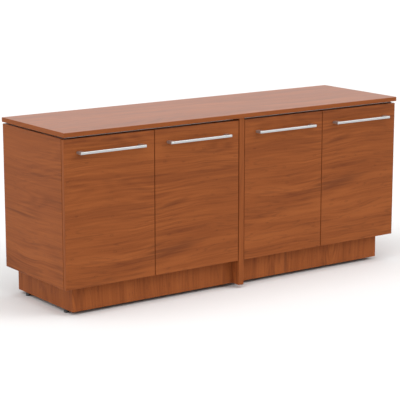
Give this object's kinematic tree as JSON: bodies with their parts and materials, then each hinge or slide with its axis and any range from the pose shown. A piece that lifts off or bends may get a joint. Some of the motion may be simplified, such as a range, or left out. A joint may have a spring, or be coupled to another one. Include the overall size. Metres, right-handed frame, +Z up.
{
  "type": "office credenza",
  "caption": "Office credenza: hinged doors with bow pulls in pairs either side of a centre gable, on recessed plinths, under a worktop set off by a shadow gap.",
  "frame": {"origin": "on the floor under the middle of the whole object: midway along its length and midway between the front of the pulls and the back edge of the worktop", "axes": "+X to the right seen from the front, along the length; +Y from the front to the back; +Z up"},
  "size_m": [1.72, 0.522, 0.749],
  "materials": {
    "worktop_laminate": "satin cherry laminate, grain along the length",
    "door_laminate": "satin cherry laminate, grain across the door",
    "case_laminate": "satin cherry laminate, grain from front to back",
    "gable_laminate": "satin cherry laminate, grain upright",
    "plinth_laminate": "satin cherry laminate, grain upright",
    "interior_laminate": "plain cherry laminate, low sheen",
    "back_board": "printed hardboard, matt",
    "block_wood": "bare softwood",
    "reveal_metal": "grey painted metal bar",
    "pull_metal": "satin silver",
    "hinge_steel": "nickel-plated pressed steel",
    "zinc_steel": "zinc-plated steel",
    "foot_plastic": "black plastic",
    "bumper_rubber": "translucent soft buffer"
  },
  "bodies": {
    "cabinet": {"centre_gable": "gable_laminate", "door_bumpers": "bumper_rubber", "gable_bolts": "zinc_steel", "hinge_arm_pins": "hinge_steel", "hinge_arms": "hinge_steel", "hinge_plates": "hinge_steel", "left_back_panel": "back_board", "left_bottom_panel": "interior_laminate", "left_end_panel": "case_laminate", "left_inner_side": "interior_laminate", "left_plinth_back": "plinth_laminate", "left_plinth_front": "plinth_laminate", "left_plinth_inner_side": "plinth_laminate", "left_plinth_outer_side": "plinth_laminate", "left_shelf": "interior_laminate", "left_sub_top": "interior_laminate", "plinth_corner_blocks": "block_wood", "plinth_feet": "foot_plastic", "plinth_screws": "zinc_steel", "reveal_spacers": "reveal_metal", "right_back_panel": "back_board", "right_bottom_panel": "interior_laminate", "right_end_panel": "case_laminate", "right_inner_side": "interior_laminate", "right_plinth_back": "plinth_laminate", "right_plinth_front": "plinth_laminate", "right_plinth_inner_side": "plinth_laminate", "right_plinth_outer_side": "plinth_laminate", "right_shelf": "interior_laminate", "right_sub_top": "interior_laminate", "shelf_pins": "zinc_steel", "worktop": "worktop_laminate", "worktop_screws": "zinc_steel"},
    "door_1_links": {"door_1_hinge_links": "hinge_steel"},
    "door_1": {"door_1_cup_pins": "hinge_steel", "door_1_hinge_cups": "hinge_steel", "door_1_panel": "door_laminate", "door_1_pull": "pull_metal", "door_1_pull_screws": "zinc_steel"},
    "door_2_links": {"door_2_hinge_links": "hinge_steel"},
    "door_2": {"door_2_cup_pins": "hinge_steel", "door_2_hinge_cups": "hinge_steel", "door_2_panel": "door_laminate", "door_2_pull": "pull_metal", "door_2_pull_screws": "zinc_steel"},
    "door_3_links": {"door_3_hinge_links": "hinge_steel"},
    "door_3": {"door_3_cup_pins": "hinge_steel", "door_3_hinge_cups": "hinge_steel", "door_3_panel": "door_laminate", "door_3_pull": "pull_metal", "door_3_pull_screws": "zinc_steel"},
    "door_4_links": {"door_4_hinge_links": "hinge_steel"},
    "door_4": {"door_4_cup_pins": "hinge_steel", "door_4_hinge_cups": "hinge_steel", "door_4_panel": "door_laminate", "door_4_pull": "pull_metal", "door_4_pull_screws": "zinc_steel"}
  },
  "joints": [
    {"name": "door_1_link_swing", "type": "hinge", "parent": "cabinet", "child": "door_1_links", "pos_m": [-0.822, -0.2015, 0.4215], "axis": [0, 0, 1], "range_deg": [0, 80.25]},
    {"name": "door_1_swing", "type": "hinge", "parent": "door_1_links", "child": "door_1", "pos_m": [-0.844, -0.2115, 0.4215], "axis": [0, 0, -1], "range_deg": [0, 187.25]},
    {"name": "door_2_link_swing", "type": "hinge", "parent": "cabinet", "child": "door_2_links", "pos_m": [-0.0507, -0.2015, 0.4215], "axis": [0, 0, -1], "range_deg": [0, 67.5]},
    {"name": "door_2_swing", "type": "hinge", "parent": "door_2_links", "child": "door_2", "pos_m": [-0.0287, -0.2115, 0.4215], "axis": [0, 0, 1], "range_deg": [0, 157.5]},
    {"name": "door_3_link_swing", "type": "hinge", "parent": "cabinet", "child": "door_3_links", "pos_m": [0.0507, -0.2015, 0.4215], "axis": [0, 0, 1], "range_deg": [0, 67.5]},
    {"name": "door_3_swing", "type": "hinge", "parent": "door_3_links", "child": "door_3", "pos_m": [0.0287, -0.2115, 0.4215], "axis": [0, 0, -1], "range_deg": [0, 157.5]},
    {"name": "door_4_link_swing", "type": "hinge", "parent": "cabinet", "child": "door_4_links", "pos_m": [0.822, -0.2015, 0.4215], "axis": [0, 0, -1], "range_deg": [0, 80.25]},
    {"name": "door_4_swing", "type": "hinge", "parent": "door_4_links", "child": "door_4", "pos_m": [0.844, -0.2115, 0.4215], "axis": [0, 0, 1], "range_deg": [0, 187.25]}
  ],
  "couplings": [
    {"joint": "door_1_link_swing", "follows": "door_1_swing", "ratio": 0.42857},
    {"joint": "door_2_link_swing", "follows": "door_2_swing", "ratio": 0.42857},
    {"joint": "door_3_link_swing", "follows": "door_3_swing", "ratio": 0.42857},
    {"joint": "door_4_link_swing", "follows": "door_4_swing", "ratio": 0.42857}
  ]
}
